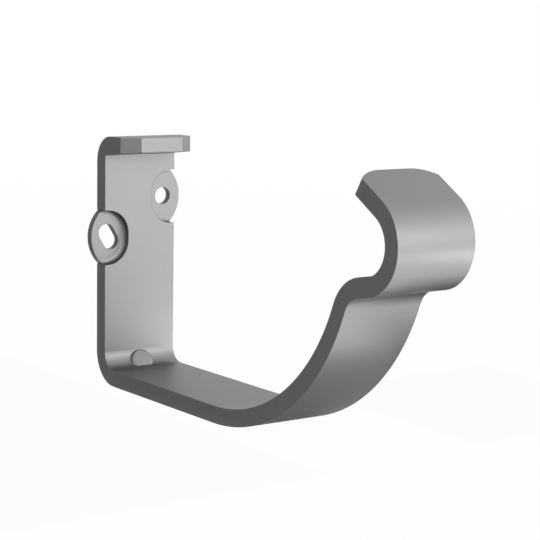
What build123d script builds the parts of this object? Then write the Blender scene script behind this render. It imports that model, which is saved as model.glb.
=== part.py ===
"""Fascia bracket for an ogee rain gutter: one flat metal strip, bent and pressed to shape.

Millimetres. X points forward from the fascia, Y runs along the gutter, Z points up. The profile is drawn
with the underside of the floor at Z 0, and the finished bracket is then moved so that the origin is the
middle of the flat back, where it seats on the fascia.
"""

import os
from math import asin, atan2, cos, degrees, radians, sin, sqrt, tan

from build123d import *

# The flat strip
strip_width = 25.0
strip_thickness = 5.0

# The upright leaf against the fascia, and the catch lip at its top
leaf_height = 77.5
top_bend_radius = 8.0
lip_reach = 18.0
lip_front_thickness = 4.4
lip_underside_angle = 6.7
lip_root_radius = 0.6
lip_chamfer_depth = 3.8
lip_chamfer_width = 5.2

# The bend at the foot and the flat floor that carries the gutter
foot_bend_radius = 5.0
floor_length = 66.7

# The belly of the ogee, the reverse bend above it and the short step
belly_radius = 58.5
belly_angle = 69.1
step_bend_radius = 6.4
step_inner_bend_radius = 13.3
step_angle = 10.0
step_flat = 4.4
step_swell = 0.3

# The curl that wraps the rolled front bead, and its straight tail
curl_bore_radius = 8.35
tail_angle = 149.4
tail_length = 12.6
tail_corner_run = 7.8
tail_corner_drop = 3.2

# The two round ears, thinned and set flush with the back
ear_radius = 11.4
ear_overhang = 3.4
ear_thickness = 2.4
upper_ear_drop = 19.6
ear_stagger = 12.0

# The recess that clears each ear for a screw head
recess_reach = 8.4
recess_height = 17.0
recess_corner_radius = 7.4
recess_foot_radius = 1.2

# The fixings: a round hole in the upper ear, a levelling slot in the lower one
fixing_diameter = 5.5
fixing_inset = 6.1
slot_travel = 3.0

# The round gusset pressed into the foot bend, and the dimple that the punch leaves behind it
gusset_radius = 3.8
gusset_lean_angle = 35.0
gusset_stand = 0.12
gusset_root = 3.0
gusset_rim_radius = 0.9
dimple_diameter = 6.0
dimple_floor = 3.8
dimple_foot_radius = 0.8

# Worked out from the sizes above
half_width = strip_width / 2
belly_outer_radius = belly_radius + strip_thickness
foot_outer_radius = foot_bend_radius + strip_thickness
curl_outer_radius = curl_bore_radius + strip_thickness
belly_centre = Vector(floor_length, belly_outer_radius)
step_along = Vector(cos(radians(step_angle)), sin(radians(step_angle)))
step_normal = Vector(-sin(radians(step_angle)), cos(radians(step_angle)))
tail_along = Vector(cos(radians(tail_angle)), sin(radians(tail_angle)))
tail_normal = Vector(sin(radians(tail_angle)), -cos(radians(tail_angle)))
lip_drop = lip_front_thickness + (lip_reach - strip_thickness) * tan(radians(lip_underside_angle))
lip_root_height = leaf_height - lip_drop
upper_ear_height = leaf_height - upper_ear_drop
lower_ear_height = upper_ear_height - ear_stagger
ear_heights = {-1: lower_ear_height, 1: upper_ear_height}
ear_centre_y = half_width + ear_overhang - ear_radius
fixing_y = half_width + ear_overhang - fixing_inset
seat_height = (foot_outer_radius + leaf_height - top_bend_radius) / 2
overshoot = 2.0


def polar(centre, radius, angle):
    """The point on a circle at an angle in degrees."""
    return centre + Vector(cos(radians(angle)), sin(radians(angle))) * radius


def arc(centre, radius, start, end):
    """An arc between two angles in degrees, in the order given."""
    first, middle, last = (polar(centre, radius, angle) for angle in (start, (start + end) / 2, end))
    return ThreePointArc(first, middle, last)


def outside_line():
    """The line of the profile that faces the fascia and the street, from the lip to the end of the tail."""
    top_centre = Vector(top_bend_radius, leaf_height - top_bend_radius)
    foot_centre = Vector(foot_outer_radius, foot_outer_radius)
    belly_end = belly_angle - 90
    bend_centre = polar(belly_centre, belly_outer_radius + step_bend_radius, belly_end)
    step_start = bend_centre + step_normal * step_bend_radius
    step_end = step_start + step_along * step_flat
    curl_centre = step_end + step_normal * curl_outer_radius
    tail_start = curl_centre + tail_normal * curl_outer_radius
    tail_end = tail_start + tail_along * tail_length
    edges = [
        Line((lip_reach, leaf_height), (top_bend_radius, leaf_height)),
        arc(top_centre, top_bend_radius, 90, 180),
        Line((0, leaf_height - top_bend_radius), (0, foot_outer_radius)),
        arc(foot_centre, foot_outer_radius, 180, 270),
        Line((foot_outer_radius, 0), (floor_length, 0)),
        arc(belly_centre, belly_outer_radius, -90, belly_end),
        arc(bend_centre, step_bend_radius, belly_end + 180, step_angle + 90),
        Line(step_start, step_end),
        arc(curl_centre, curl_outer_radius, step_angle - 90, tail_angle - 90),
        Line(tail_start, tail_end),
    ]
    return edges, step_start, curl_centre, tail_end


def gutter_line(step_start, curl_centre, tail_end):
    """The line of the profile that faces the gutter, from the end of the tail back to the lip.

    The step is a little thicker than the strip, so its top runs straight into the bore of the curl and
    meets it at a slight corner. Its bend touches both the belly and the top of the step.
    """
    step_thickness = strip_thickness + step_swell
    top_to_centre = curl_outer_radius - step_thickness
    half_chord = sqrt(curl_bore_radius**2 - top_to_centre**2)
    corner = curl_centre - step_normal * top_to_centre + step_along * half_chord
    corner_angle = degrees(atan2(corner.Y - curl_centre.Y, corner.X - curl_centre.X))
    reach = belly_radius + step_inner_bend_radius
    rise = (step_start - belly_centre).dot(step_normal) + step_thickness - step_inner_bend_radius
    belly_end = step_angle + degrees(asin(rise / reach))
    bend_centre = polar(belly_centre, reach, belly_end)
    tail_inner_end = tail_end - tail_normal * strip_thickness
    tail_inner_start = curl_centre + tail_normal * curl_bore_radius
    foot_centre = Vector(foot_outer_radius, foot_outer_radius)
    lip_front = Vector(lip_reach, leaf_height - lip_front_thickness)
    lip_root = Vector(strip_thickness, lip_root_height)
    return [
        Line(tail_end, tail_inner_end),
        Line(tail_inner_end, tail_inner_start),
        arc(curl_centre, curl_bore_radius, tail_angle - 90, corner_angle),
        Line(corner, bend_centre + step_normal * step_inner_bend_radius),
        arc(bend_centre, step_inner_bend_radius, step_angle + 90, belly_end + 180),
        arc(belly_centre, belly_radius, belly_end, -90),
        Line((floor_length, strip_thickness), (foot_outer_radius, strip_thickness)),
        arc(foot_centre, foot_bend_radius, 270, 180),
        Line((strip_thickness, foot_outer_radius), lip_root),
        Line(lip_root, lip_front),
        Line(lip_front, (lip_reach, leaf_height)),
    ]


def bent_strip():
    """The strip bent along its profile, and the point where its outside line ends."""
    outside, step_start, curl_centre, tail_end = outside_line()
    inside = gutter_line(step_start, curl_centre, tail_end)
    profile = Plane.XZ * make_face(Wire(outside + inside))
    strip = extrude(profile, amount=half_width, both=True)
    root = strip.edges().filter_by(Axis.Y).sort_by_distance((strip_thickness, 0, lip_root_height))[0]
    return fillet(root, lip_root_radius), tail_end


def lip_corners():
    """The two corners cut off the front of the lip."""
    cuts = []
    for side in (-1, 1):
        outline = Polyline(
            (lip_reach - lip_chamfer_depth, side * half_width),
            (lip_reach - lip_chamfer_depth, side * (half_width + overshoot)),
            (lip_reach + overshoot, side * (half_width + overshoot)),
            (lip_reach + overshoot, side * (half_width - lip_chamfer_width)),
            (lip_reach, side * (half_width - lip_chamfer_width)),
            close=True,
        )
        depth = 2 * lip_front_thickness
        cuts.append(Pos(0, 0, leaf_height - depth) * extrude(make_face(outline), amount=depth + overshoot))
    return cuts


def tail_corners(tail_end):
    """The two rounded corners at the end of the tail: arcs that leave the end square on."""
    radius = (tail_corner_run**2 + tail_corner_drop**2) / (2 * tail_corner_drop)
    end_plane = Plane(
        origin=(tail_end.X, 0, tail_end.Y),
        x_dir=(0, 1, 0),
        z_dir=(tail_normal.X, 0, tail_normal.Y),
    )
    cuts = []
    for side in (-1, 1):
        inner = side * (half_width - tail_corner_run)
        edge = side * half_width
        outer = side * (half_width + overshoot)
        part_way = tail_corner_run / 2
        fall = radius - sqrt(radius**2 - part_way**2)
        corner = ThreePointArc((inner, 0), (inner + side * part_way, -fall), (edge, -tail_corner_drop))
        rest = Polyline(
            (edge, -tail_corner_drop),
            (outer, -tail_corner_drop),
            (outer, overshoot),
            (inner, overshoot),
            (inner, 0),
        )
        face = end_plane * make_face(Wire([corner] + rest.edges()))
        cuts.append(extrude(face, amount=strip_thickness + overshoot, both=True))
    return cuts


def recess_outline(side):
    """The outline of one recess, open past the edge of the strip, in the plane of the leaf."""
    inner = side * (half_width - recess_reach)
    outer = side * (half_width + ear_overhang + overshoot)
    block = Pos((inner + outer) / 2, ear_heights[side]) * Rectangle(abs(outer - inner), recess_height)
    inner_corners = block.vertices().sort_by_distance((inner, ear_heights[side]))[:2]
    return fillet(inner_corners, recess_corner_radius)


def ear_disc(side, thickness):
    """The round plate of one ear, from the back of the leaf forward."""
    disc = Plane.YZ * Pos(side * ear_centre_y, ear_heights[side]) * Circle(ear_radius)
    return extrude(disc, amount=thickness)


def screw_recess(side):
    """The blind recess in front of one ear, with a rounded foot to its wall."""
    depth = strip_thickness - ear_thickness + overshoot
    recess = extrude(Plane.YZ.offset(ear_thickness) * recess_outline(side), amount=depth)
    foot = recess.faces().sort_by(Axis.X)[0].edges()
    return fillet(foot, recess_foot_radius)


def edge_notches(side):
    """The two small gaps left between the recess and the rim of the ear, right through the leaf."""
    outline = Plane.YZ.offset(-overshoot) * recess_outline(side)
    through = extrude(outline, amount=strip_thickness + 2 * overshoot)
    return through - Pos(-2 * overshoot, 0, 0) * ear_disc(side, strip_thickness + 4 * overshoot)


def fixing_hole():
    """The round hole through the upper ear."""
    hole = Plane.YZ.offset(-overshoot) * Pos(fixing_y, upper_ear_height) * Circle(fixing_diameter / 2)
    return extrude(hole, amount=ear_thickness + 2 * overshoot)


def levelling_slot():
    """The slot through the lower ear, square to the line from the round hole.

    The bracket can then be swung a little about the screw in the round hole before the second is driven.
    """
    toward_slot = degrees(atan2(-ear_stagger, -2 * fixing_y))
    outline = Rot(0, 0, toward_slot + 90) * SlotCenterToCenter(slot_travel, fixing_diameter)
    slot = Plane.YZ.offset(-overshoot) * Pos(-fixing_y, lower_ear_height) * outline
    return extrude(slot, amount=ear_thickness + 2 * overshoot)


def punch_plane(behind):
    """A plane square to the line of the punch, at a distance behind the flat face of the gusset.

    The face starts where the leaf runs into the foot bend, and leans back by its angle from upright.
    """
    lean = radians(gusset_lean_angle)
    forward = Vector(cos(lean), 0, sin(lean))
    down = Vector(sin(lean), 0, -cos(lean))
    top = Vector(strip_thickness, 0, foot_outer_radius)
    origin = top + down * gusset_radius + forward * (gusset_stand - behind)
    return Plane(origin=origin, x_dir=(0, 1, 0), z_dir=forward)


def punched_disc(behind, radius, depth, edge_radius):
    """A disc square to the line of the punch, with a rounded edge at its front."""
    plane = punch_plane(behind)
    disc = extrude(plane * Circle(radius), amount=-depth)
    edge = disc.faces().sort_by(Axis((0, 0, 0), plane.z_dir))[-1].edges()
    return fillet(edge, edge_radius)


def gusset():
    """The round gusset with its flat face, rooted in the strip."""
    return punched_disc(0, gusset_radius, gusset_root, gusset_rim_radius)


def dimple():
    """The round dimple in the outside of the foot bend, behind the gusset."""
    return punched_disc(dimple_floor, dimple_diameter / 2, foot_bend_radius, dimple_foot_radius)


def bracket():
    """The whole bracket, one solid, with its origin in the middle of the flat back."""
    body, tail_end = bent_strip()
    body += gusset()
    body -= dimple()
    for cut in lip_corners() + tail_corners(tail_end):
        body -= cut
    for side in (-1, 1):
        body -= screw_recess(side)
        body -= edge_notches(side)
        body += ear_disc(side, ear_thickness)
    body -= fixing_hole()
    body -= levelling_slot()
    return Pos(0, 0, -seat_height) * body


os.makedirs("parts", exist_ok=True)
export_step(bracket(), "parts/bracket.step")
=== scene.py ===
"""Studio scene for the gutter bracket: its metal's finish, a pale floor, soft light and the camera.

Metres, in the same frame as the model: X forward from the fascia, Y along the gutter, Z up, with
the origin in the middle of the flat back.
"""

import logging
from dataclasses import dataclass
from enum import Enum
from math import cos, pi, radians, sin
from typing import Any

import bpy
import numpy as np
from mathutils import Matrix, Vector


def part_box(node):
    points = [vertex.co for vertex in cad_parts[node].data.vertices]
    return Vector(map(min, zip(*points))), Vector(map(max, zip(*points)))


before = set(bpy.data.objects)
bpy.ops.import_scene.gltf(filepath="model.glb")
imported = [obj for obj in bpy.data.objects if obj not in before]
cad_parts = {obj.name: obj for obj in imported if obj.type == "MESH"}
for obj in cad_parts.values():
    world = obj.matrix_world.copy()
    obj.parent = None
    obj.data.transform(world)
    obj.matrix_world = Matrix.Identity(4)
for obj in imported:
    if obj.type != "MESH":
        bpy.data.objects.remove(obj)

log = logging.getLogger("gutter_bracket")

Tree = bpy.types.NodeTree
Socket = bpy.types.NodeSocket

MM = 0.001
PLAIN_WHITE = (1.0, 1.0, 1.0, 1.0)
NOISE_RANGE = (0.25, 0.75)  # nearly all of a noise lies between these
FLOOR_CELLS = 12
SHEET_CELLS = 4


class SeenBy(Enum):
    """The kinds of ray that see the studio as plain white."""

    CAMERA = "Is Camera Ray"
    GLOSS = "Is Glossy Ray"
    TRANSMISSION = "Is Transmission Ray"


def linear_colour(hex_code: str) -> tuple[float, float, float, float]:
    """Turns an sRGB hex colour to linear light, by the standard's own curve.

    Args:
        hex_code: six hex digits, with or without the leading hash.

    Returns:
        Red, green, blue and an alpha of 1.
    """
    digits = hex_code.lstrip("#")
    channels = np.array([int(digits[i : i + 2], 16) for i in (0, 2, 4)]) / 255
    light = np.where(channels <= 0.04045, channels / 12.92, ((channels + 0.055) / 1.055) ** 2.4)
    return (float(light[0]), float(light[1]), float(light[2]), 1.0)


def add_node(
    tree: Tree,
    kind: str,
    settings: dict[str, Any] | None = None,
    inputs: dict[str | int, Any] | None = None,
) -> bpy.types.Node:
    """Adds one node with its settings, values and links.

    Args:
        tree: the node tree that gets the node.
        kind: the node's type name in Blender.
        settings: properties of the node itself.
        inputs: a value or an output socket for each named or numbered input.

    Returns:
        The new node.
    """
    node = tree.nodes.new(kind)
    for name, value in (settings or {}).items():
        setattr(node, name, value)
    for name, value in (inputs or {}).items():
        if isinstance(value, Socket):
            tree.links.new(value, node.inputs[name])
        else:
            node.inputs[name].default_value = value
    return node


def empty_tree(owner: bpy.types.Material | bpy.types.World) -> Tree:
    """Switches nodes on and clears the tree, so that it holds only what is added here.

    Args:
        owner: the material or world to clear.

    Returns:
        Its empty node tree.
    """
    owner.use_nodes = True
    owner.node_tree.nodes.clear()
    return owner.node_tree


def mix_values(
    tree: Tree, share: float | Socket, first: float | Socket, second: float | Socket
) -> Socket:
    """Mixes two numbers, which are a mix node's inputs 2 and 3.

    Args:
        tree: the node tree.
        share: how much of the second goes in, from 0 to 1.
        first: the first number.
        second: the second number.

    Returns:
        The mixed number.
    """
    inputs = {0: share, 2: first, 3: second}
    return add_node(tree, "ShaderNodeMix", {"data_type": "FLOAT"}, inputs).outputs[0]


def combine(tree: Tree, operation: str, first: Socket, second: Socket) -> Socket:
    """Combines two numbers by one operation of a math node.

    Args:
        tree: the node tree.
        operation: the operation's name in Blender.
        first: the first number.
        second: the second number.

    Returns:
        The result.
    """
    inputs = {0: first, 1: second}
    return add_node(tree, "ShaderNodeMath", {"operation": operation}, inputs).outputs[0]


def white_rays(tree: Tree, kinds: tuple[SeenBy, ...]) -> Socket:
    """Adds up the kinds of ray that see plain white.

    Args:
        tree: the node tree of the floor or the world.
        kinds: the kinds of ray.

    Returns:
        A socket that is 1 for those rays and 0 for the rest.
    """
    path = add_node(tree, "ShaderNodeLightPath")
    total = path.outputs[kinds[0].value]
    for kind in kinds[1:]:
        total = combine(tree, "MAXIMUM", total, path.outputs[kind.value])
    return total


@dataclass(frozen=True)
class SatinMetal:
    """Aluminium strip, blasted to a fine satin and anodised mid grey.

    The blast leaves an even, fine grain that spreads a highlight into a soft band, and the strip's
    own draw lines, which run along it, show very faintly through it. The real surface has a grain
    of about 0.1 mm, too fine to show at 3.4 pixels per millimetre, so it is drawn at 0.6 mm.

    Attributes:
        name: the material's name.
        colour: the metal's own grey.
        roughness: the middle of the roughness.
        roughness_spread: how far it goes up and down from there.
        grain_mm: the size of one grain.
        grain_layers: how many finer layers the grain has.
        grain_height_mm: how high the grain stands.
        draw_line_mm: the width of one draw line.
        draw_line_length_mm: how far it runs before it fades.
        draw_line_layers: how many finer layers the draw lines have.
        draw_line_layer_share: how strong each finer layer of draw lines is.
        line_tone_share: the draw lines' share in the drift of tone, the rest being the patches'.
        line_gloss_share: their share in the spread of roughness, the rest being the grain's.
        tone_patch_mm: the size of one patch of tone.
        tone_patch_layers: how many finer layers the patches have.
        tone_spread: how far the grey drifts up and down, as a share of it.
        layer_share: how strong each finer layer of grain or patches is.
        grazing_tint: the grey that the metal takes on at a grazing angle.
        edge_radius_mm: the radius that the blast leaves on an edge.
        edge_samples: how many samples find that edge.
    """

    name: str = "satin_anodised_aluminium"
    colour: str = "#898989"
    roughness: float = 0.42
    roughness_spread: float = 0.04
    grain_mm: float = 0.6
    grain_layers: float = 3.0
    grain_height_mm: float = 0.0035
    draw_line_mm: float = 0.5
    draw_line_length_mm: float = 45.0
    draw_line_layers: float = 1.0
    draw_line_layer_share: float = 0.5
    line_tone_share: float = 0.3
    line_gloss_share: float = 0.5
    tone_patch_mm: float = 9.0
    tone_patch_layers: float = 2.0
    tone_spread: float = 0.025
    layer_share: float = 0.55
    grazing_tint: float = 0.75
    edge_radius_mm: float = 0.25
    edge_samples: int = 8

    def build(self) -> bpy.types.Material:
        """Builds the material.

        Returns:
            The finished material.
        """
        material = bpy.data.materials.new(self.name)
        tree = empty_tree(material)
        place = add_node(tree, "ShaderNodeTexCoord").outputs["Object"]
        grain = self.noise(tree, place, self.grain_mm, self.grain_layers)
        patches = self.noise(tree, place, self.tone_patch_mm, self.tone_patch_layers)
        lines = self.draw_lines(tree, place)
        shader = add_node(
            tree,
            "ShaderNodeBsdfPrincipled",
            None,
            {
                "Base Color": self.colour_field(tree, patches, lines),
                "Metallic": 1.0,
                "Roughness": self.roughness_field(tree, grain, lines),
                "Specular Tint": (self.grazing_tint, self.grazing_tint, self.grazing_tint, 1.0),
                "Normal": self.relief(tree, grain),
            },
        )
        add_node(tree, "ShaderNodeOutputMaterial", None, {"Surface": shader.outputs[0]})
        return material

    def noise(self, tree: Tree, place: Socket, size_mm: float, layers: float) -> Socket:
        """Adds a noise with features of a real size.

        Args:
            tree: the node tree.
            place: the coordinates that it reads.
            size_mm: the size of one feature.
            layers: how many finer layers are added.

        Returns:
            The noise, from 0 to 1.
        """
        node = add_node(
            tree,
            "ShaderNodeTexNoise",
            {"noise_dimensions": "3D"},
            {
                "Vector": place,
                "Scale": 1 / (size_mm * MM),
                "Detail": layers,
                "Roughness": self.layer_share,
            },
        )
        return node.outputs["Fac"]

    def draw_lines(self, tree: Tree, place: Socket) -> Socket:
        """Adds fine lines along the strip, which change fast across it and slowly along it.

        Args:
            tree: the node tree.
            place: the coordinates that it reads.

        Returns:
            The lines, from 0 to 1.
        """
        along = 1 / (self.draw_line_length_mm * MM)
        across = 1 / (self.draw_line_mm * MM)
        stretched = add_node(
            tree,
            "ShaderNodeMapping",
            {"vector_type": "POINT"},
            {"Vector": place, "Scale": (along, across, along)},
        )
        node = add_node(
            tree,
            "ShaderNodeTexNoise",
            {"noise_dimensions": "3D"},
            {
                "Vector": stretched.outputs[0],
                "Scale": 1.0,
                "Detail": self.draw_line_layers,
                "Roughness": self.draw_line_layer_share,
            },
        )
        return node.outputs["Fac"]

    def colour_field(self, tree: Tree, patches: Socket, lines: Socket) -> Socket:
        """Lets the grey drift a little from patch to patch, and less from line to line.

        A mix node takes its colours at inputs 6 and 7 and gives the mixed one at output 2.

        Args:
            tree: the node tree.
            patches: slow noise from 0 to 1.
            lines: draw lines from 0 to 1.

        Returns:
            The colour.
        """
        base = linear_colour(self.colour)
        darker = tuple(c * (1 - self.tone_spread) for c in base[:3]) + (1.0,)
        lighter = tuple(c * (1 + self.tone_spread) for c in base[:3]) + (1.0,)
        share = mix_values(tree, self.line_tone_share, patches, lines)
        inputs = {0: share, 6: darker, 7: lighter}
        return add_node(tree, "ShaderNodeMix", {"data_type": "RGBA"}, inputs).outputs[2]

    def roughness_field(self, tree: Tree, grain: Socket, lines: Socket) -> Socket:
        """Spreads the roughness a little either side of its middle, with the grain and the lines.

        Args:
            tree: the node tree.
            grain: fine noise from 0 to 1.
            lines: draw lines from 0 to 1.

        Returns:
            The roughness.
        """
        spread = add_node(
            tree,
            "ShaderNodeMapRange",
            None,
            {
                "Value": mix_values(tree, self.line_gloss_share, grain, lines),
                "From Min": NOISE_RANGE[0],
                "From Max": NOISE_RANGE[1],
                "To Min": self.roughness - self.roughness_spread,
                "To Max": self.roughness + self.roughness_spread,
            },
        )
        return spread.outputs[0]

    def relief(self, tree: Tree, grain: Socket) -> Socket:
        """Rounds the edges slightly, as blasting does, and raises the grain on them.

        Args:
            tree: the node tree.
            grain: fine noise from 0 to 1.

        Returns:
            The surface normal.
        """
        rounded = add_node(
            tree,
            "ShaderNodeBevel",
            {"samples": self.edge_samples},
            {"Radius": self.edge_radius_mm * MM},
        )
        bump = add_node(
            tree,
            "ShaderNodeBump",
            None,
            {
                "Strength": 1.0,
                "Distance": self.grain_height_mm * MM,
                "Height": grain,
                "Normal": rounded.outputs[0],
            },
        )
        return bump.outputs[0]


@dataclass(frozen=True)
class PaleFloorFinish:
    """Matt white studio board, which keeps some of its own shade near the part.

    The camera sees it there almost as plain white, with a matt share that carries the soft shadow
    under the part. The metal mirrors it there as mostly matt. Both fade to plain white farther
    off, so that the floor meets the white surround without a line.

    Attributes:
        name: the material's name.
        colour: the board's own grey.
        white_share: the share of plain white that the camera sees near the part.
        mirrored_white_share: the share of plain white that the metal mirrors near the part.
        fade_start: metres from the origin at which plain white starts to take over.
        fade_end: metres from the origin at which all of it is plain white.
    """

    name: str = "matt_white_board"
    colour: str = "#DADADA"
    white_share: float = 0.975
    mirrored_white_share: float = 0.175
    fade_start: float = 0.3
    fade_end: float = 1.0

    def build(self) -> bpy.types.Material:
        """Builds the material.

        Returns:
            The finished material.
        """
        material = bpy.data.materials.new(self.name)
        tree = empty_tree(material)
        matt = add_node(tree, "ShaderNodeBsdfDiffuse", None, {"Color": linear_colour(self.colour)})
        white = add_node(
            tree, "ShaderNodeEmission", None, {"Color": PLAIN_WHITE, "Strength": 1.0}
        )
        place = add_node(tree, "ShaderNodeTexCoord").outputs["Object"]
        length = add_node(tree, "ShaderNodeVectorMath", {"operation": "LENGTH"}, {0: place})
        distance = length.outputs["Value"]
        camera_rays = white_rays(tree, (SeenBy.CAMERA,))
        seen = self.white_part(tree, distance, camera_rays, self.white_share)
        mirror_rays = white_rays(tree, (SeenBy.GLOSS, SeenBy.TRANSMISSION))
        mirrored = self.white_part(tree, distance, mirror_rays, self.mirrored_white_share)
        share = combine(tree, "MAXIMUM", seen, mirrored)
        mixed = add_node(
            tree,
            "ShaderNodeMixShader",
            None,
            {0: share, 1: matt.outputs[0], 2: white.outputs[0]},
        )
        add_node(tree, "ShaderNodeOutputMaterial", None, {"Surface": mixed.outputs[0]})
        return material

    def white_part(self, tree: Tree, distance: Socket, rays: Socket, near_share: float) -> Socket:
        """Says how much plain white a kind of ray meets: near_share by the part, all of it far off.

        Args:
            tree: the node tree.
            distance: metres from the origin.
            rays: 1 for the rays that this is for, 0 for the rest.
            near_share: the share of white close to the part.

        Returns:
            The share of white, 0 for other rays.
        """
        whiteness = add_node(
            tree,
            "ShaderNodeMapRange",
            {"interpolation_type": "SMOOTHSTEP"},
            {
                "Value": distance,
                "From Min": self.fade_start,
                "From Max": self.fade_end,
                "To Min": near_share,
                "To Max": 1.0,
            },
        )
        return combine(tree, "MULTIPLY", rays, whiteness.outputs[0])


@dataclass(frozen=True)
class FeltFinish:
    """Felt on a studio flag or mat.

    Attributes:
        name: the material's name.
        colour: its grey. The pale one gives back half of the light, the dark one hardly any.
    """

    name: str = "grey_felt"
    colour: str = "#B9B9B9"

    def build(self) -> bpy.types.Material:
        """Builds the material.

        Returns:
            The finished material.
        """
        material = bpy.data.materials.new(self.name)
        tree = empty_tree(material)
        matt = add_node(tree, "ShaderNodeBsdfDiffuse", None, {"Color": linear_colour(self.colour)})
        add_node(tree, "ShaderNodeOutputMaterial", None, {"Surface": matt.outputs[0]})
        return material


@dataclass(frozen=True)
class Bracket:
    """The bracket itself: the model's one node, dressed in its real finish.

    Attributes:
        node: the node's name in the model.
        finish: the finish of its metal.
    """

    node: str = "bracket"
    finish: SatinMetal = SatinMetal()

    def dress(self) -> bpy.types.Object:
        """Gives the node its finish.

        Returns:
            The dressed node.
        """
        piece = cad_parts[self.node]
        material = self.finish.build()
        for slot in piece.material_slots:
            slot.material = material
        low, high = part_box(self.node)
        size_mm = [round(float(s) / MM, 1) for s in high - low]
        log.info("%s dressed in %s, %s mm", self.node, material.name, size_mm)
        return piece


def add_light(name: str, across: float, up: float, level: float) -> bpy.types.Object:
    """Adds a rectangular light that the camera doesn't see.

    Args:
        name: what it is called in the scene.
        across: metres across.
        up: metres the other way.
        level: how bright its face is, where 1 is plain white.

    Returns:
        The light's object, not placed yet.
    """
    lamp = bpy.data.lights.new(name, "AREA")
    lamp.shape = "RECTANGLE"
    lamp.size, lamp.size_y = across, up
    lamp.energy = level * pi * across * up
    holder = bpy.data.objects.new(name, lamp)
    holder.visible_camera = False
    bpy.context.scene.collection.objects.link(holder)
    return holder


@dataclass(frozen=True)
class SoftBox:
    """A rectangular studio light that faces the part.

    Attributes:
        name: what it is called in the scene.
        azimuth: degrees from X towards Y at which it stands.
        elevation: degrees above the floor.
        distance: metres from the part's middle to its middle.
        width: metres across.
        height: metres up.
        level: how bright its face is, where 1 is plain white.
    """

    name: str
    azimuth: float
    elevation: float
    distance: float
    width: float
    height: float
    level: float

    def build(self, aim: Vector) -> bpy.types.Object:
        """Hangs the light and turns it to the part.

        Args:
            aim: the point that it faces.

        Returns:
            The light's object.
        """
        turn, lift = radians(self.azimuth), radians(self.elevation)
        away = Vector((cos(turn) * cos(lift), sin(turn) * cos(lift), sin(lift)))
        holder = add_light(self.name, self.width, self.height, self.level)
        holder.location = aim + away * self.distance
        holder.rotation_mode = "QUATERNION"
        holder.rotation_quaternion = away.to_track_quat("Z", "Y")
        log.info("%s hung %.2f m away", self.name, self.distance)
        return holder


@dataclass(frozen=True)
class LightPanel:
    """A flat light panel that lies on the floor beside the part and shines up at it.

    Attributes:
        name: what it is called in the scene.
        middle: where its middle is on the floor.
        length: metres along X.
        width: metres along Y.
        level: how bright its face is, where 1 is plain white.
        lift: metres above the floor.
    """

    name: str
    middle: tuple[float, float]
    length: float
    width: float
    level: float
    lift: float = 1.0 * MM

    def build(self, floor_height: float) -> bpy.types.Object:
        """Lays the panel just above the floor and turns it over, because a light shines down.

        Args:
            floor_height: the height of the floor.

        Returns:
            The light's object.
        """
        holder = add_light(self.name, self.length, self.width, self.level)
        holder.location = (*self.middle, floor_height + self.lift)
        holder.rotation_euler = (radians(180), 0.0, 0.0)
        log.info("%s laid on the floor", self.name)
        return holder


@dataclass(frozen=True)
class FloorMat:
    """A felt mat that lies on the floor, so that the metal doesn't mirror the pale floor there.

    Attributes:
        name: what it is called in the scene.
        corner: its corner with the least X and Y.
        size: metres along X and along Y.
        lift: metres above the floor.
        finish: the felt.
    """

    name: str
    corner: tuple[float, float]
    size: tuple[float, float]
    lift: float
    finish: FeltFinish


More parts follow.
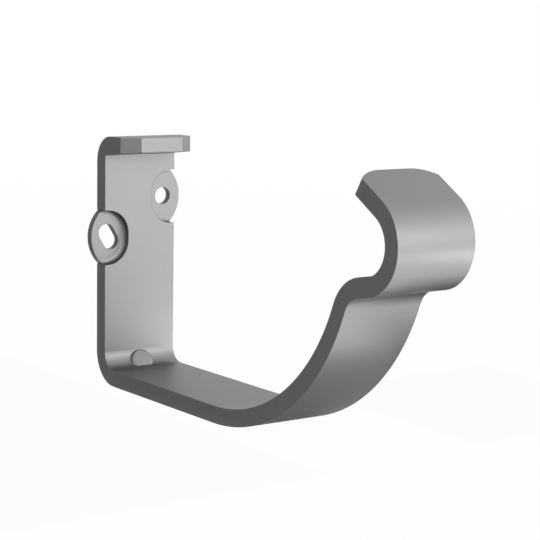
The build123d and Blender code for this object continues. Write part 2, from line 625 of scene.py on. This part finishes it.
@dataclass(frozen=True)
class Studio:
    """The set around the part: a pale floor, a grey flag, two mats, soft lights, a white surround.

    Attributes:
        aim_at: the middle of the part, which the soft boxes face.
        floor_height: the height of the part's underside.
        floor_reach: metres from the origin to each edge of the floor.
        floor_finish: the floor's board.
        flag_finish: the flag's felt.
        flag_azimuth: degrees from X towards Y at which the flag stands.
        flag_distance: metres from the part's middle to the flag.
        flag_width: metres across.
        flag_height: metres up.
        mats: the mats on the floor.
        surround_level: how bright the surround is as a source of light, where 1 is plain white.
        lights: the lights that hang.
        panels: the lights that lie on the floor.
    """

    aim_at: tuple[float, float, float] = (0.073, 0.0, -0.001)
    floor_height: float = -0.03975
    floor_reach: float = 6.0
    floor_finish: PaleFloorFinish = PaleFloorFinish()
    flag_finish: FeltFinish = FeltFinish()
    flag_azimuth: float = -143.0
    flag_distance: float = 0.6
    flag_width: float = 1.4
    flag_height: float = 1.1
    mats: tuple[FloorMat, ...] = (
        FloorMat("floor_mat", (-0.6, -0.7), (0.73, 0.682), 1.0 * MM, FeltFinish()),
        FloorMat(
            "dark_mat", (0.045, 0.035), (0.08, 0.075), 0.5 * MM, FeltFinish("dark_felt", "#2A2A2A")
        ),
    )
    surround_level: float = 0.75
    lights: tuple[SoftBox, ...] = (
        SoftBox("key_softbox", 10.0, 11.3, 0.8, 0.5, 0.39, 4.53),
        SoftBox("side_softbox", 79.0, 20.5, 0.8, 1.6, 0.73, 0.83),
    )
    panels: tuple[LightPanel, ...] = (
        LightPanel("wide_floor_panel", (0.53, 0.1), 0.46, 0.4, 0.47),
        LightPanel("far_floor_panel", (0.212, 0.1335), 0.17, 0.1, 3.67),
        LightPanel("middle_floor_panel", (0.219, 0.0475), 0.143, 0.04, 0.93),
        LightPanel("near_floor_panel", (0.208, 0.0075), 0.16, 0.04, 1.45),
        LightPanel("left_floor_panel", (0.02, 0.0495), 0.11, 0.05, 3.07),
    )

    def sheet(
        self, name: str, corner: np.ndarray, across: np.ndarray, up: np.ndarray, cells: int
    ) -> bpy.types.Object:
        """Makes a flat sheet as a grid: the point at (u, v) is the corner plus u across plus v up.

        Args:
            name: the object's name.
            corner: where u and v are 0.
            across: the whole way along u.
            up: the whole way along v.
            cells: how many cells each way.

        Returns:
            The sheet's object.
        """
        steps = np.linspace(0, 1, cells + 1)
        u, v = np.meshgrid(steps, steps, indexing="ij")
        points = corner + u[..., None] * across + v[..., None] * up
        index = np.arange((cells + 1) ** 2).reshape(cells + 1, cells + 1)
        faces = np.stack([index[:-1, :-1], index[1:, :-1], index[1:, 1:], index[:-1, 1:]], axis=-1)
        mesh = bpy.data.meshes.new(name)
        mesh.from_pydata(points.reshape(-1, 3).tolist(), [], faces.reshape(-1, 4).tolist())
        mesh.update()
        piece = bpy.data.objects.new(name, mesh)
        bpy.context.scene.collection.objects.link(piece)
        log.info("%s made, %d faces", name, len(mesh.polygons))
        return piece

    def lay_floor(self) -> bpy.types.Object:
        """Lays the floor level with the underside of the part.

        Returns:
            The floor's object.
        """
        reach = self.floor_reach
        floor = self.sheet(
            "studio_floor",
            np.array([-reach, -reach, self.floor_height]),
            np.array([2 * reach, 0.0, 0.0]),
            np.array([0.0, 2 * reach, 0.0]),
            FLOOR_CELLS,
        )
        floor.data.materials.append(self.floor_finish.build())
        return floor

    def stand_flag(self) -> bpy.types.Object:
        """Stands a grey flag on the left of the set, which darkens the sides that face it.

        Returns:
            The flag's object, which the camera doesn't see.
        """
        turn = radians(self.flag_azimuth)
        away = np.array([cos(turn), sin(turn), 0.0])
        across = np.array([-sin(turn), cos(turn), 0.0]) * self.flag_width
        up = np.array([0.0, 0.0, self.flag_height])
        below_aim = np.array([self.aim_at[0], self.aim_at[1], self.floor_height])
        corner = below_aim + away * self.flag_distance - across / 2
        flag = self.sheet("left_flag", corner, across, up, SHEET_CELLS)
        flag.data.materials.append(self.flag_finish.build())
        flag.visible_camera = False
        return flag

    def lay_mat(self, mat: FloorMat) -> bpy.types.Object:
        """Lays a mat on the floor.

        Args:
            mat: its place, size and felt.

        Returns:
            The mat's object, which the camera doesn't see.
        """
        laid = self.sheet(
            mat.name,
            np.array([*mat.corner, self.floor_height + mat.lift]),
            np.array([mat.size[0], 0.0, 0.0]),
            np.array([0.0, mat.size[1], 0.0]),
            SHEET_CELLS,
        )
        laid.data.materials.append(mat.finish.build())
        laid.visible_camera = False
        return laid

    def surround(self) -> bpy.types.World:
        """Makes the white surround: white to the camera and in the metal, dimmer as a light.

        Returns:
            The world.
        """
        world = bpy.data.worlds.new("white_surround")
        tree = empty_tree(world)
        rays = white_rays(tree, (SeenBy.CAMERA, SeenBy.GLOSS, SeenBy.TRANSMISSION))
        level = mix_values(tree, rays, self.surround_level, 1.0)
        glow = add_node(
            tree, "ShaderNodeBackground", None, {"Color": PLAIN_WHITE, "Strength": level}
        )
        add_node(tree, "ShaderNodeOutputWorld", None, {"Surface": glow.outputs[0]})
        bpy.context.scene.world = world
        return world

    def build(self) -> None:
        """Builds the floor, the flag, the mats, the lights and the surround."""
        self.lay_floor()
        self.stand_flag()
        for mat in self.mats:
            self.lay_mat(mat)
        for light in self.lights:
            light.build(Vector(self.aim_at))
        for panel in self.panels:
            panel.build(self.floor_height)
        self.surround()


@dataclass(frozen=True)
class Viewpoint:
    """The photograph's camera: where it stands and how it is turned.

    Attributes:
        place_mm: where the lens is.
        yaw: degrees that it turns left from looking along Y.
        pitch: degrees that it looks down.
        roll: degrees that it leans, clockwise positive.
        lens_mm: focal length.
        sensor_mm: the width of its sensor.
        nearest: metres to the nearest thing that it sees.
        farthest: metres to the farthest thing that it sees.
    """

    place_mm: tuple[float, float, float] = (459.303, -273.255, 73.015)
    yaw: float = 54.540
    pitch: float = 8.291
    roll: float = -0.940
    lens_mm: float = 113.254
    sensor_mm: float = 36.0
    nearest: float = 0.01
    farthest: float = 50.0

    def build(self) -> bpy.types.Object:
        """Sets up the camera and makes it the scene's own.

        Returns:
            The camera's object.
        """
        yaw, pitch, roll = radians(self.yaw), radians(self.pitch), radians(self.roll)
        ahead = Vector((-sin(yaw) * cos(pitch), cos(yaw) * cos(pitch), -sin(pitch)))
        level = Vector((cos(yaw), sin(yaw), 0.0))
        down = ahead.cross(level)
        right = level * cos(roll) + down * sin(roll)
        below = down * cos(roll) - level * sin(roll)
        camera = bpy.data.cameras.new("photo_camera")
        camera.lens = self.lens_mm
        camera.sensor_width = self.sensor_mm
        camera.clip_start, camera.clip_end = self.nearest, self.farthest
        holder = bpy.data.objects.new("photo_camera", camera)
        turned = Matrix((right, -below, -ahead)).transposed().to_4x4()
        holder.matrix_world = Matrix.Translation(Vector(self.place_mm) * MM) @ turned
        bpy.context.scene.collection.objects.link(holder)
        bpy.context.scene.camera = holder
        log.info("camera placed, %.1f mm lens", self.lens_mm)
        return holder


def main() -> None:
    """Builds the part and its set in order."""
    logging.basicConfig(level=logging.INFO, format="%(name)s: %(message)s")
    bpy.context.view_layer.update()
    Bracket().dress()
    Studio().build()
    Viewpoint().build()
    bpy.context.scene.view_settings.view_transform = "Standard"
    bpy.context.view_layer.update()


if __name__ == "__main__":
    main()
